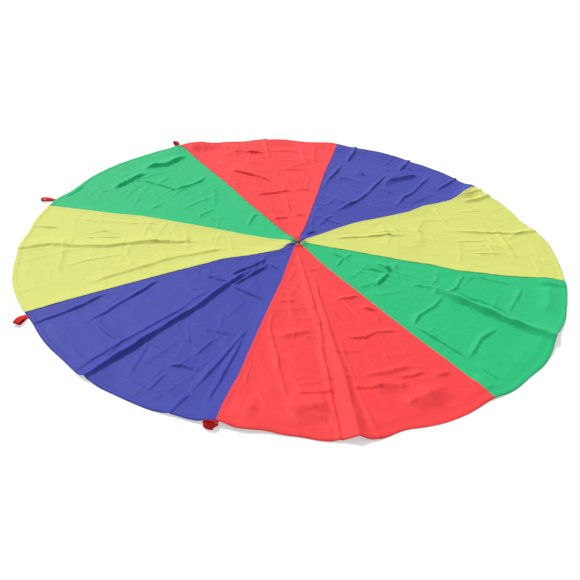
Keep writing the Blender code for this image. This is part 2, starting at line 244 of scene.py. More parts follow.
def cloth_place(panel, from_first, radius, creases, on_top):
    """Where points of a panel's cloth lie, as x, y and z, from their place on the flat cut.

    from_first is the distance from the panel's first seam, along the arc.
    """
    width = radius * SECTOR
    to_seams = (from_first, width - from_first)
    nearest = np.abs(np.minimum(*to_seams))
    seams = [SEAM_LINES[(panel + side) % 8] for side in (0, 1)]

    # In plan, the seams wander, the rim waves and the middle lies off the centre
    share = smooth(from_first / width)
    sideways = eased(radius, seams[0], 1) * MM * (1 - share) + eased(radius, seams[1], 1) * MM * share
    turn = panel * SECTOR + (from_first + sideways) / radius
    degrees = np.degrees(turn) % 360
    wave_start, wave_length = 0.80, 0.20
    reach = radius + eased(degrees, RIM_LINE, 1) * MM * smooth((radius - wave_start) / wave_length)
    x, y = reach * np.cos(turn), reach * np.sin(turn)
    for across, along, extent in CENTRE_SHIFTS:
        shifted = MM * (1 - smooth(radius / (extent * MM)))
        x, y = x + across * shifted, y + along * shifted

    # Creases and low swells, which the stiff double-sewn seams hold back
    swell_height, swell_ease, held_back = 2.4 * MM, 0.11, 24 * MM
    folds = np.zeros_like(x)
    for number, (height, left, right, path) in enumerate(creases + chance_creases(panel)):
        folds += crease(x, y, height, left, right, path, 100 * panel + number)
    away = smooth((nearest - LAP) / held_back)
    swell = swell_height * (ripple(x, y, 0.19, 40 + panel) + 0.6 * ripple(x, y, 0.085, 50 + panel))
    lying = folds * away + swell * smooth(nearest / swell_ease)

    # The rim lies at its own height, and so does each seam, with the turned edges a little higher
    rim_start, rim_length, rim_ease, flattened = 0.90, 0.085, 0.05, 0.35
    near_rim = smooth((radius - rim_start) / rim_length)
    raised = near_rim * (eased(degrees, RIM_LINE, 2) * MM) * smooth(nearest / rim_ease)
    lying += raised - flattened * near_rim * np.clip(folds, 0, None) * away
    for seam, distance in zip(seams, to_seams):
        lying += (eased(radius, seam, 2) * MM - 1.0 * MM) * (1 - smooth(np.abs(distance) / (55 * MM)))
        lying += 1.1 * MM * (1 - smooth(np.abs(distance) / (22 * MM)))

    # Puckers along the stitching and the hem, and gathers round the vent, in mm
    along_stitch = ripple(reach, 0 * reach, 0.011, 80 + panel) * np.exp(-nearest / (11 * MM))
    height = 7.5 + 2.5 * np.cos(turn - 2.3) + 2.6 * ripple(turn / 0.24, 0 * turn, 1, 90)
    gathered = height * np.exp(-((radius - 26 * MM) / (20 * MM)) ** 2)
    along_hem = ripple(turn, 0 * turn, 0.016, 81) * np.exp(-(RADIUS - radius) / (12 * MM))
    lying += 0.45 * MM * along_stitch + MM * gathered + 0.5 * MM * along_hem

    # Nothing sinks into the floor: what would, lies on it with a fine crumple
    rest = 1.2 * MM
    z = 0.5 * (lying + np.sqrt(lying * lying + rest * rest))
    crumple = 0.0
    for height, size, seed, across, along in ((1.1, 0.050, 60, 0.3, 0.0), (0.5, 0.026, 70, 0.0, 0.4)):
        wave = ripple(x + across * y, y - along * x, size, seed + panel)
        crumple = crumple + height * MM * (1 - np.abs(wave)) ** 1.6
    z += crumple * smooth((nearest - 2 * MM) / 0.02) * (1 - smooth((radius - 0.955) / 0.02))

    # The doubled hem is a little proud of the cloth, and the cloth clears the handles
    z += 0.8 * MM * smooth((radius - RADIUS + HEM + 5 * MM) / (7 * MM))
    rounding = 0.8 * MM
    for seam in (panel, panel + 1):
        towards = 1 if seam % 2 else -1
        cover = over_handle(seam, towards * (turn - seam * SECTOR) * reach, reach)
        z = np.where(cover > 0.05 * MM, 0.5 * (z + cover + np.sqrt((z - cover) ** 2 + rounding ** 2)), z)
    if on_top:
        z = z + 1.15 * MM * (1 - smooth((nearest - LAP) / (70 * MM)))

    # The hem's edge turns down, and the tips that lie below sink into the vent
    hem_drop, drop_width, tip_height = 2.6 * MM, 4 * MM, 0.8 * MM
    z = np.maximum(z - hem_drop * smooth((radius - RADIUS + drop_width) / drop_width), np.minimum(z, 0.3 * MM))
    if not on_top:
        z = tip_height + (z - tip_height) * smooth((radius - 4 * MM) / (12 * MM))
    return x, y, z + 0.1 * MM


def panel_rows(panel):
    """Radii of a panel's rows: even down the panel from its tip, and close together at the hem."""
    beside = 1.2 * MM
    hem = [HEM + 3 * MM, HEM + beside, HEM, HEM - beside, 9 * MM, 6 * MM, 3 * MM, beside, 0.3 * MM, 0.0]
    down = np.linspace(TIP_RADII[panel] * MM, RADIUS - 20 * MM, ROWS)
    return np.concatenate([down, RADIUS - np.array(hem)])


def panel_columns(radius, on_top):
    """Distances from the first seam of a panel's columns at a radius: close together where the edges are sewn."""
    width = radius * SECTOR
    sewn = np.array(SEWN_COLUMNS)
    side = np.minimum(sewn * MM, sewn / sewn[-1] * SEWN_SHARE * width)
    if not on_top:
        side = np.concatenate([[-min(LAP, LAP_SHARE * width)], side])
    middle = np.linspace(side[-1], width - side[-1], COLUMNS)[1:-1]
    return np.concatenate([side, middle, width - side[::-1]])


def panel_grid(across, rows, radii):
    """A flat grid of a panel's rows and columns, with every other column left out twice towards the narrow tip."""
    shape = bmesh.new()
    bmesh.ops.create_grid(shape, x_segments=across - 1, y_segments=rows - 1, size=1)
    sewn = (across - COLUMNS) // 2 + 1
    for stride, last_radius in ((2, 0.58), (4, 0.29)):
        last_row = int(np.searchsorted(radii, last_radius))
        spare = []
        for edge in shape.edges:
            first, last = edge.verts
            if abs(first.co.x - last.co.x) > 1e-6:
                continue
            column = round((first.co.x + 1) / 2 * (across - 1)) - sewn
            row = round((max(first.co.y, last.co.y) + 1) / 2 * (rows - 1))
            if 0 < column < COLUMNS - 3 and column % stride == stride // 2 and row <= last_row:
                spare.append(edge)
        bmesh.ops.dissolve_edges(shape, edges=spare, use_verts=True)
    return shape


def taffeta_group():
    """Plain-woven taffeta as a node group: its threads, with painted shade that darkens the colour between them, the
    faint streaks of its yarn and its fine rumples.
    """
    group = bpy.data.node_groups.new("taffeta", "ShaderNodeTree")
    sockets = group.interface
    sockets.new_socket("Cut", in_out="INPUT", socket_type="NodeSocketVector")
    sockets.new_socket("Colour", in_out="INPUT", socket_type="NodeSocketColor")
    for name, value in (("Thread Pitch", 0.0005), ("Streaks", 0.05), ("Rumple", 0.4), ("Roughness", 0.5)):
        made = sockets.new_socket(name, in_out="INPUT", socket_type="NodeSocketFloat")
        made.default_value = value
    sockets.new_socket("Colour", in_out="OUTPUT", socket_type="NodeSocketColor")
    sockets.new_socket("Roughness", in_out="OUTPUT", socket_type="NodeSocketFloat")
    sockets.new_socket("Height", in_out="OUTPUT", socket_type="NodeSocketFloat")
    nodes, links = group.nodes, group.links
    into, out = nodes.new("NodeGroupInput"), nodes.new("NodeGroupOutput")

    def math_node(operation, first, second=None, third=None):
        made = nodes.new("ShaderNodeMath")
        made.operation = operation
        for socket, value in zip(made.inputs, (first, second, third)):
            if isinstance(value, (int, float)):
                socket.default_value = value
            elif value is not None:
                links.new(value, socket)
        return made.outputs[0]

    split = nodes.new("ShaderNodeSeparateXYZ")
    links.new(into.outputs["Cut"], split.inputs[0])
    turns = math_node("DIVIDE", math.pi, into.outputs["Thread Pitch"])
    threads = []
    for axis in ("X", "Y"):
        wave = math_node("SINE", math_node("MULTIPLY", split.outputs[axis], turns))
        threads.append(math_node("MULTIPLY", wave, wave))
    weave = math_node("MULTIPLY", threads[0], threads[1])

    def noise(scale, detail, stretch):
        place = nodes.new("ShaderNodeMapping")
        place.inputs["Scale"].default_value = stretch
        links.new(into.outputs["Cut"], place.inputs["Vector"])
        made = nodes.new("ShaderNodeTexNoise")
        made.inputs["Scale"].default_value = scale
        made.inputs["Detail"].default_value = detail
        links.new(place.outputs["Vector"], made.inputs["Vector"])
        return made.outputs["Fac"]

    yarn = noise(900, 2, (1.0, 0.012, 1.0))
    patches = noise(4.5, 3, (1.0, 1.0, 1.0))
    rumples = noise(34, 4, (1.0, 0.8, 1.0))
    streak = math_node("MULTIPLY", math_node("SUBTRACT", yarn, 0.5), into.outputs["Streaks"])
    patch = math_node("MULTIPLY", math_node("SUBTRACT", patches, 0.5), 0.10)
    # Painted shade: the colour darkens a little between the threads, where the weave dips, and lightens where they
    # cross. The weave's bump in the height below is real relief.
    between = math_node("MULTIPLY", math_node("SUBTRACT", weave, 0.25), 0.06)
    value = math_node("ADD", 1.0, math_node("ADD", math_node("ADD", streak, patch), between))
    tint = nodes.new("ShaderNodeMix")
    tint.data_type = "RGBA"
    tint.blend_type = "MULTIPLY"
    tint.inputs["Factor"].default_value = 1.0
    grey = nodes.new("ShaderNodeCombineColor")
    for socket in grey.inputs[:3]:
        links.new(value, socket)
    links.new(into.outputs["Colour"], tint.inputs["A"])
    links.new(grey.outputs[0], tint.inputs["B"])
    links.new(tint.outputs["Result"], out.inputs["Colour"])
    uneven = math_node("MULTIPLY", math_node("SUBTRACT", patches, 0.5), 0.15)
    links.new(math_node("ADD", into.outputs["Roughness"], uneven), out.inputs["Roughness"])
    soft = math_node("MULTIPLY", math_node("MULTIPLY", rumples, into.outputs["Rumple"]), 0.001)
    links.new(math_node("ADD", soft, math_node("MULTIPLY", weave, 0.00006)), out.inputs["Height"])
    return group


def cloth_material(name, colour, roughness=0.5, thread_pitch=0.5 * MM, rumple=0.4):
    """Woven polyester of one colour, with a faint sheen; its threads follow the cut of the cloth."""
    made = bpy.data.materials.new(name)
    made.use_nodes = True
    nodes, links = made.node_tree.nodes, made.node_tree.links
    shader = nodes["Principled BSDF"]
    shader.inputs["Sheen Weight"].default_value = 0.01
    shader.inputs["Sheen Roughness"].default_value = 0.4
    shader.inputs["Specular IOR Level"].default_value = 0.09
    cut = nodes.new("ShaderNodeUVMap")
    cut.uv_map = "cut"
    woven = nodes.new("ShaderNodeGroup")
    woven.node_tree = TAFFETA
    woven.inputs["Colour"].default_value = (*colour, 1.0)
    woven.inputs["Roughness"].default_value = roughness
    woven.inputs["Thread Pitch"].default_value = thread_pitch
    woven.inputs["Rumple"].default_value = rumple
    links.new(cut.outputs["UV"], woven.inputs["Cut"])
    bump = nodes.new("ShaderNodeBump")
    bump.inputs["Distance"].default_value = 1.0
    bump.inputs["Strength"].default_value = 1.0
    links.new(woven.outputs["Height"], bump.inputs["Height"])
    links.new(woven.outputs["Colour"], shader.inputs["Base Color"])
    links.new(woven.outputs["Roughness"], shader.inputs["Roughness"])
    links.new(bump.outputs["Normal"], shader.inputs["Normal"])
    return made


def finish_object(name, mesh, material):
    """The smooth-shaded object of a finished mesh."""
    mesh.polygons.foreach_set("use_smooth", [True] * len(mesh.polygons))
    mesh.materials.append(material)
    made = bpy.data.objects.new(name, mesh)
    bpy.context.scene.collection.objects.link(made)
    return made


# Stitches: their pitch, the share of it that the thread covers, its half width, and how far each row lies from an
# edge, from the corners and from the tip
STITCH_PITCH = 3.2 * MM
STITCH_SHARES = (0.14, 0.86)
THREAD = 0.24 * MM
FROM_EDGE = 1.6 * MM
FROM_FOLD = 2.2 * MM
FROM_CORNER = 4 * MM
FROM_RIM = 3 * MM
FROM_TIP = 25 * MM
TAIL_ROWS = 24 * MM


def stitch_rows(panel, on_top):
    """Both ends of each stitch on a panel, as (distance from the first seam, radius), for all its rows of stitches."""
    rows = []

    def row(first, last):
        first, last = np.array(first), np.array(last)
        count = max(2, round(np.hypot(*(last - first)) / STITCH_PITCH))
        share = (np.arange(count)[:, None] + np.array(STITCH_SHARES))[..., None] / count
        rows.append(first + (last - first) * share)

    hem = RADIUS - HEM + FROM_FOLD
    row((FROM_CORNER, hem), (hem * SECTOR - FROM_CORNER, hem))
    if on_top:
        top, end = FROM_TIP, RADIUS - FROM_RIM
        for inward in (FROM_EDGE, LAP - FROM_EDGE):
            row((inward, top), (inward, end))
            row((top * SECTOR - inward, top), (end * SECTOR - inward, end))
    else:
        # A crossed box holds each handle's tail under the hem
        low, high = RADIUS - TAIL_ROWS, RADIUS - FROM_CORNER
        for side in (0, 1):
            edge = HANDLE_SEATS[(panel + side) % 8][1]
            near, far = edge + FROM_RIM, edge + WEBBING_WIDTH - FROM_RIM
            corners = [(near, low), (far, low), (far, high), (near, high)]
            if side:
                corners = [(radius * SECTOR - inward, radius) for inward, radius in corners]
            for first, last in ((0, 1), (1, 2), (2, 3), (3, 0), (0, 2), (1, 3)):
                row(corners[first], corners[last])
    return np.concatenate(rows)


def sew(panel, name, creases, on_top, material):
    """All the stitches of a panel as one piece: small bead-like shapes along its rows."""
    ends = stitch_rows(panel, on_top)
    places = []
    for end in (0, 1):
        from_first, radius = ends[:, end, 0], ends[:, end, 1]
        x, y, z = cloth_place(panel, from_first, radius, creases, on_top)
        inward = np.minimum(from_first, radius * SECTOR - from_first)
        doubled = (radius > RADIUS - HEM) | (on_top & (inward < LAP))
        places.append(np.stack([x, y, z + np.where(doubled, 2, 1) * CLOTH + 0.4 * THREAD], 1))
    half = (places[1] - places[0]) / 2
    length = np.linalg.norm(half, axis=1, keepdims=True)
    forward = half / length
    sideways = np.cross((0, 0, 1), forward)
    sideways /= np.linalg.norm(sideways, axis=1, keepdims=True)
    upward = np.cross(forward, sideways)
    middle = (places[0] + places[1]) / 2
    # One bead is doubled until there are enough, and each is then turned and stretched into its stitch
    mesh = bpy.data.meshes.new(name)
    shape = bmesh.new()
    bmesh.ops.create_uvsphere(shape, u_segments=4, v_segments=2, radius=1)
    shape.to_mesh(mesh)
    shape.free()
    bead = np.zeros(len(mesh.vertices) * 3)
    mesh.vertices.foreach_get("co", bead)
    bead = bead.reshape(1, -1, 3, 1)
    count, corners = len(half), bead.shape[1]
    shape = bmesh.new()
    shape.from_mesh(mesh)
    while len(shape.verts) < count * corners:
        bmesh.ops.duplicate(shape, geom=shape.verts[:] + shape.edges[:] + shape.faces[:])
    shape.verts.ensure_lookup_table()
    bmesh.ops.delete(shape, geom=shape.verts[count * corners:], context="VERTS")
    shape.to_mesh(mesh)
    shape.free()
    axes = np.stack([sideways * THREAD, upward * THREAD, half], 1)[:, None]
    placed = middle[:, None] + (bead * axes).sum(2)
    mesh.vertices.foreach_set("co", placed.ravel())
    mesh.update()
    made = finish_object(name, mesh, material)
    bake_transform(made)
    return made


def thread_material(name, colour):
    """Twisted polyester thread: its plies as a fine random change of tone."""
    made = bpy.data.materials.new(name)
    made.use_nodes = True
    nodes, links = made.node_tree.nodes, made.node_tree.links
    shader = nodes["Principled BSDF"]
    shader.inputs["Roughness"].default_value = 0.55
    shader.inputs["Specular IOR Level"].default_value = 0.2
    place = nodes.new("ShaderNodeTexCoord")
    plies = nodes.new("ShaderNodeTexNoise")
    plies.inputs["Scale"].default_value = 2500
    shade = nodes.new("ShaderNodeMix")
    shade.data_type = "RGBA"
    shade.inputs["A"].default_value = (*(0.84 * channel for channel in colour), 1.0)
    shade.inputs["B"].default_value = (*colour, 1.0)
    links.new(place.outputs["Object"], plies.inputs["Vector"])
    links.new(plies.outputs["Fac"], shade.inputs["Factor"])
    links.new(shade.outputs["Result"], shader.inputs["Base Color"])
    return made


def add_panel(panel, node, creases, on_top, material, thread, slot):
    """A wedge of cloth: a flat grid, cut to the wedge and laid as the canopy lies, then given its thickness."""
    radii = panel_rows(panel)
    columns = np.array([panel_columns(radius, on_top) for radius in radii])
    rows, across = columns.shape
    shape = panel_grid(across, rows, radii)
    mesh = bpy.data.meshes.new(node + "_cloth")
    shape.to_mesh(mesh)
    shape.free()
    count = len(mesh.vertices)
    flat = np.zeros(count * 3)
    mesh.vertices.foreach_get("co", flat)
    flat = flat.reshape(-1, 3)
    column = np.rint((flat[:, 0] + 1) / 2 * (across - 1)).astype(int)
    row = np.rint((flat[:, 1] + 1) / 2 * (rows - 1)).astype(int)
    # The grid is turned over so that the wedge, which runs the other way round, faces up
    from_first = columns[row, across - 1 - column]
    radius = radii[row]
    x, y, z = cloth_place(panel, from_first, radius, creases, on_top)
    mesh.vertices.foreach_set("co", np.stack([x, y, z], 1).ravel())
    spread = from_first / radius - SECTOR / 2
    cut = np.stack([radius * np.sin(spread), radius * np.cos(spread)], 1)
    corner = np.zeros(len(mesh.loops), int)
    mesh.loops.foreach_get("vertex_index", corner)
    layer = mesh.uv_layers.new(name="cut")
    layer.data.foreach_set("uv", cut[corner].ravel())
    made = finish_object(node + "_cloth", mesh, material)
    turned = made.vertex_groups.new(name="turned edge")
    edge = np.minimum(from_first, radius * SECTOR - from_first)
    hair = 0.1 * MM
    doubled = (radius > RADIUS - HEM - hair) | (on_top & (edge < LAP + hair))
    turned.add(np.nonzero(doubled)[0].tolist(), 1.0, "REPLACE")
    wall = made.modifiers.new("cloth thickness", "SOLIDIFY")
    wall.thickness = 2 * CLOTH
    wall.offset = 1.0
    wall.vertex_group = turned.name
    wall.thickness_vertex_group = 0.5
    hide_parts(node)
    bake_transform(made)
    stitching = sew(panel, node + "_stitching", creases, on_top, thread)
    return made


def panel_finish(colour_name, colour):
    """Cloth and thread of one colour, and a name made from the colour."""
    cloth = cloth_material(colour_name + " taffeta", colour)
    return cloth, thread_material(colour_name + " thread", colour), colour_name + "_cloth"


TAFFETA = taffeta_group()
blue_finish = panel_finish("blue", BLUE)
# Creases: the height and the flanks to the left and right of the path, in mm, and the path in (degrees, radius)
BLUE_BACK_CREASES = (
    (3.5, 20, 6, ((62.1, 0.144), (65.0, 0.27))),
    (8, 26, 7, ((65.2, 0.27), (66.2, 0.315), (64.8, 0.38), (64.2, 0.44), (65, 0.53), (66, 0.62), (67.5, 0.74),
                (68, 0.83))),
    (5, 20, 6, ((71.4, 0.115), (75, 0.15), (79.7, 0.204), (82.6, 0.307))),
    (3.5, 6, 18, ((53, 0.106), (75, 0.095))),
    (6, 14, 6, ((58, 0.035), (54, 0.08), (50, 0.12))),
    (6.5, 14, 6, ((62.0, 0.385), (66.5, 0.345))),
    (8.5, 24, 6, ((86.6, 0.31), (87.6, 0.40), (86.6, 0.47), (85.6, 0.58), (84.7, 0.68), (84.2, 0.80))),
    (9, 24, 6, ((83.2, 0.80), (82.9, 0.92), (83.2, 1.02))),
    (9, 24, 6, ((66, 0.85), (66.4, 0.93), (66.7, 1.02))),
    (8.5, 22, 6, ((49.4, 0.80), (50.8, 0.91), (51.8, 1.02))),
    (7, 24, 7, ((47.6, 0.52), (49.3, 0.57), (52.4, 0.64), (53, 0.70), (54.9, 0.78), (56.8, 0.88), (58.5, 0.955))),
    (12, 40, 24, ((64.2, 0.655), (64.4, 0.72), (62, 0.80), (59.3, 0.885))),
    (5, 14, 6, ((68.4, 0.79), (69.3, 0.83), (72, 0.87))),
    (4, 7, 26, ((57.3, 0.622), (64.6, 0.61))),
    (6, 7, 26, ((66.2, 0.39), (77.9, 0.408), (84, 0.433))),
    (5.5, 6, 24, ((45.5, 0.24), (59, 0.216), (66, 0.209), (82.5, 0.227))),
    (8, 30, 26, ((73, 0.70), (79, 0.73))),
    (4, 7, 7, ((81.5, 0.57), (81.5, 0.65))),
    (4, 7, 22, ((46.8, 0.57), (47.6, 0.68), (48.9, 0.81))),
    (4, 7, 26, ((70, 0.61), (76, 0.63), (83, 0.62))),
    (4, 7, 26, ((60, 0.92), (72, 0.90), (80, 0.92))),
)
BLUE_FRONT_CREASES = (
    (12, 13, 26, ((250.5, 0.21), (249.5, 0.26), (247.5, 0.33), (247.3, 0.41), (247.3, 0.60), (246.8, 0.74),
                  (246.5, 0.84), (246.3, 1.02))),
    (3.5, 6, 50, ((242.7, 0.38), (244.2, 0.60), (243.6, 0.78), (243.9, 1.02))),
    (7, 5, 9, ((250.5, 0.19), (246.0, 0.26), (241.0, 0.36))),
    (7, 6, 14, ((251, 0.19), (254.8, 0.24), (252.8, 0.30), (249, 0.41))),
    (8.5, 22, 6, ((247.5, 0.40), (258, 0.412), (268.4, 0.43))),
    (6.5, 20, 6, ((249, 0.205), (259, 0.22), (268.2, 0.23))),
    (6, 6, 16, ((240.5, 0.17), (248, 0.205), (252, 0.25))),
    (6, 18, 6, ((238, 0.415), (244, 0.39), (249, 0.385))),
    (6.5, 6, 24, ((225.8, 0.54), (228.5, 0.62), (230.6, 0.70), (232.6, 0.79), (233.7, 0.89))),
    (6.5, 6, 22, ((225.4, 0.73), (227.4, 0.83), (228.3, 0.92), (228.4, 1.02))),
    (5, 6, 18, ((267, 0.60), (266.8, 0.78), (266.8, 0.96))),
    (4.5, 6, 22, ((267.3, 0.57), (264.5, 0.77), (263.2, 0.91))),
    (4.5, 6, 18, ((263.2, 0.91), (262.2, 1.02))),
    (4.5, 20, 6, ((255.3, 0.848), (258.3, 0.825), (262.0, 0.828))),
    (4.5, 30, 14, ((249.5, 0.635), (256.5, 0.648), (263, 0.63), (268.5, 0.618))),
    (2.5, 5, 16, ((259.8, 0.67), (259.1, 0.78))),
    (2.5, 5, 16, ((256.8, 0.86), (256.7, 0.97))),
    (6, 30, 16, ((229, 0.40), (236, 0.415), (242, 0.38))),
    (4.5, 30, 16, ((232, 0.84), (239, 0.845), (244, 0.835))),
)
add_panel(1, "panel_blue_back", BLUE_BACK_CREASES, False, *blue_finish)
add_panel(5, "panel_blue_front", BLUE_FRONT_CREASES, False, *blue_finish)

# Green panels: cut and hemmed like the blue ones, and also sewn in under their neighbours. The left one has the one
# big step where the cloth was folded across near the rim, and the right one a broad fold that runs out to the rim.
GREEN = (0.026, 0.53, 0.205)
green_finish = panel_finish("green", GREEN)
GREEN_LEFT_CREASES = (
    (12, 17, 60, ((136.2, 0.90), (139, 0.872), (142.6, 0.856), (145.6, 0.844), (148.4, 0.866), (152.8, 0.88))),
    (10.5, 15, 50, ((152.5, 0.84), (159.6, 0.826), (164.4, 0.83), (168.5, 0.84))),
    (3.5, 7, 24, ((169.5, 0.83), (171, 0.88))),
    (5, 6, 22, ((156.8, 0.61), (157.3, 0.70), (158.2, 0.82))),
    (6.5, 7, 26, ((138.0, 0.655), (143, 0.62), (149, 0.613), (157.5, 0.627))),
    (5, 7, 22, ((158.6, 0.38), (153.3, 0.425), (145.2, 0.50), (141.0, 0.58))),
    (5, 6, 22, ((157.8, 0.388), (166, 0.40), (174.5, 0.408))),
    (3.5, 6, 16, ((161.5, 0.33), (158.2, 0.40))),
    (3.5, 6, 16, ((137, 0.41), (140, 0.38))),
    (6, 6, 24, ((136.5, 0.232), (147, 0.233), (158, 0.215), (168.5, 0.205))),
    (3.5, 7, 24, ((169, 0.585), (175, 0.61))),
    (7, 14, 30, ((169.5, 0.96), (174, 0.955), (178, 0.97))),
    (3, 7, 28, ((150, 0.74), (156, 0.72))),
)
GREEN_RIGHT_CREASES = (
    (8, 34, 7, ((345, 0.32), (343.5, 0.36), (340.5, 0.405))),
    (16, 62, 22, ((339.8, 0.53), (338.8, 0.66), (338.2, 0.76), (338.0, 0.86), (337.6, 0.94), (337.3, 1.02))),
    (6.5, 14, 7, ((341.8, 0.60), (341.2, 0.72), (340.6, 0.84))),
    (5, 16, 6, ((336.5, 0.48), (340, 0.55), (340, 0.64))),
    (5, 7, 6, ((336.5, 0.155), (337.6, 0.21), (335.3, 0.265))),
    (6, 7, 6, ((319.3, 0.235), (329, 0.222), (338.0, 0.21))),
    (3.5, 20, 6, ((337, 0.212), (346, 0.225), (355, 0.235))),
    (6.5, 20, 6, ((345.8, 0.36), (339.5, 0.40))),
    (9, 24, 7, ((324.3, 0.41), (332, 0.402), (340.0, 0.395))),
    (5, 7, 6, ((334.6, 0.305), (338.5, 0.36), (339.7, 0.40))),
    (3.5, 26, 7, ((336.5, 0.455), (344, 0.405), (353, 0.405))),
    (8, 26, 7, ((317.2, 0.64), (323, 0.61), (330.3, 0.612), (339.5, 0.612))),
    (6, 26, 7, ((338.5, 0.612), (345.5, 0.634), (354.8, 0.638))),
    (5.5, 26, 7, ((340.8, 0.825), (347.6, 0.832), (354.8, 0.846))),
    (6.5, 26, 7, ((319.3, 0.848), (327.5, 0.815), (334.5, 0.828))),
    (8.5, 20, 6, ((318.0, 0.625), (318.6, 0.71), (319.6, 0.845))),
    (3.5, 14, 6, ((356.8, 0.64), (354.3, 0.72), (354.6, 0.83))),
    (5, 16, 6, ((319.6, 0.87), (319.6, 0.965))),
    (7, 40, 50, ((345, 0.93), (351, 0.935), (357, 0.94))),
)
add_panel(3, "panel_green_left", GREEN_LEFT_CREASES, False, *green_finish)
add_panel(7, "panel_green_right", GREEN_RIGHT_CREASES, False, *green_finish)

# Yellow panels: their straight edges are turned under and sewn on top of the blue and green panels. The pale cloth
# shows its creases least, and the right one rises at its far corner over the handle that is tucked there.
YELLOW = (0.70, 0.74, 0.185)
yellow_finish = panel_finish("yellow", YELLOW)
YELLOW_RIGHT_CREASES = (
    (5.5, 30, 7, ((17, 0.13), (20, 0.22), (21.8, 0.32), (20, 0.45))),
    (6, 30, 14, ((23.3, 0.65), (21, 0.80), (20.4, 0.90), (21.2, 1.02))),
    (3, 24, 7, ((17.2, 0.85), (20, 0.90), (22.3, 1.02))),
    (2.5, 18, 6, ((8.6, 0.67), (9.3, 0.81))),
    (3, 50, 22, ((10, 0.485), (19, 0.495), (27, 0.515), (35, 0.595))),
    (4.5, 24, 14, ((27, 0.655), (34, 0.665), (41, 0.68))),
    (3, 22, 14, ((10, 0.36), (24, 0.37), (37, 0.38))),
    (4, 24, 14, ((5, 0.845), (14, 0.835), (25, 0.84))),
    (3, 16, 6, ((36, 0.73), (33.5, 0.88))),
    (9, 24, 20, ((40, 0.83), (39.5, 0.92), (40, 1.02))),
    (4.5, 20, 7, ((43.0, 0.86), (42.6, 1.02))),
    (2.5, 20, 7, ((28.5, 0.90), (27.5, 1.02))),
)
YELLOW_LEFT_CREASES = (
    (6.5, 16, 70, ((200.0, 0.30), (199.9, 0.57), (202.0, 0.70), (201.4, 0.79), (200.0, 0.90), (202.1, 1.02))),
    (4.5, 14, 60, ((214.3, 0.19), (212.5, 0.30), (214, 0.40), (213.8, 0.46), (215.5, 0.54), (217.4, 0.64),
                   (220, 0.83))),
    (6, 14, 26, ((192, 0.88), (192, 1.02))),
    (2, 7, 40, ((186, 0.58), (187.2, 0.75), (187.2, 0.90))),
    (2, 7, 20, ((184.0, 0.73), (183.2, 0.87))),
    (3, 6, 16, ((217, 0.91), (217.3, 1.02))),
    (3, 20, 14, ((196, 0.86), (205, 0.85), (214, 0.87))),
    (3, 18, 14, ((200, 0.62), (208, 0.63), (216, 0.62))),
    (3, 18, 14, ((188, 0.42), (198, 0.41), (210, 0.42))),
)
add_panel(0, "panel_yellow_right", YELLOW_RIGHT_CREASES, True, *yellow_finish)
add_panel(4, "panel_yellow_left", YELLOW_LEFT_CREASES, True, *yellow_finish)

# Red panels: sewn on top like the yellow ones. The front one is the most creased, with a broad fold down its middle
# that reaches the rim and short creases where it was folded across four times.
RED = (0.94, 0.064, 0.071)
red_finish = panel_finish("red", RED)
RED_BACK_CREASES = (
    (5, 24, 7, ((96, 0.69), (98.5, 0.825), (99.8, 0.96))),
    (4.5, 22, 6, ((93.4, 0.72), (94.8, 0.84), (94.9, 0.96))),
    (6, 24, 7, ((110.6, 0.745), (110.3, 0.85), (109.8, 1.02))),
    (5, 22, 7, ((122.4, 0.885), (122.3, 1.02))),
    (3.5, 22, 7, ((129.8, 0.90), (128.2, 1.02))),
    (3.5, 7, 26, ((99, 0.85), (104.3, 0.857), (110, 0.851), (112.8, 0.83))),
    (7, 7, 28, ((110.5, 0.832), (115, 0.839), (118.1, 0.849), (123.2, 0.90))),
    (3.5, 7, 24, ((111.0, 0.687), (117, 0.717), (120.2, 0.765))),
    (3, 7, 24, ((94.5, 0.667), (103.3, 0.645), (110, 0.633))),
    (3, 7, 24, ((111.0, 0.614), (121, 0.625))),
    (8, 7, 28, ((111.0, 0.50), (117.4, 0.552), (122.1, 0.598), (125.3, 0.64), (129.4, 0.678))),
    (8.5, 6, 26, ((101.5, 0.424), (108.4, 0.408), (119.5, 0.39), (127.8, 0.399))),
    (5, 6, 24, ((90.7, 0.45), (97, 0.436), (104, 0.423))),
    (3.5, 7, 20, ((130.4, 0.395), (128.5, 0.48))),
    (5, 22, 7, ((106.6, 0.20), (107, 0.33), (108, 0.41))),
    (3, 20, 7, ((107.5, 0.40), (107.1, 0.52))),
    (5.5, 5, 24, ((106.3, 0.178), (122, 0.168), (134.3, 0.173))),
    (4, 5, 22, ((84, 0.214), (95, 0.196), (106, 0.180))),
)
